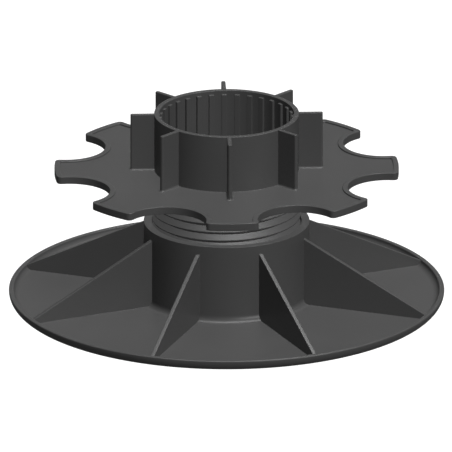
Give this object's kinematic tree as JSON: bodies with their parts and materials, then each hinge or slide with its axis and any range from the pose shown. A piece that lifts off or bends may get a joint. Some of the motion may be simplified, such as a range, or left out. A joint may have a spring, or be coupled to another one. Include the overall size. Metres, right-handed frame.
{
  "type": "decking pedestal",
  "caption": "Screw-adjusted plastic pedestal that stands on a flat roof and carries decking or paving: round threaded base, star-plate head with a finned socket.",
  "frame": {"origin": "centre of the face that the base stands on", "axes": "+Z is the screw's axis and points up; two of the plate's arms and two of the fins point along +X and -X, two along +Y and -Y"},
  "size_m": [0.2, 0.2, 0.0907],
  "materials": {
    "base_moulding": "fine moulded texture",
    "head_moulding": "fine moulded texture"
  },
  "bodies": {
    "base": {"base": "base_moulding"},
    "head": {"head": "head_moulding"}
  },
  "joints": [
    {"name": "head_lift", "type": "slide", "parent": "base", "child": "head", "axis": [0, 0, 1], "range_m": [-0.02, 0.004]}
  ]
}
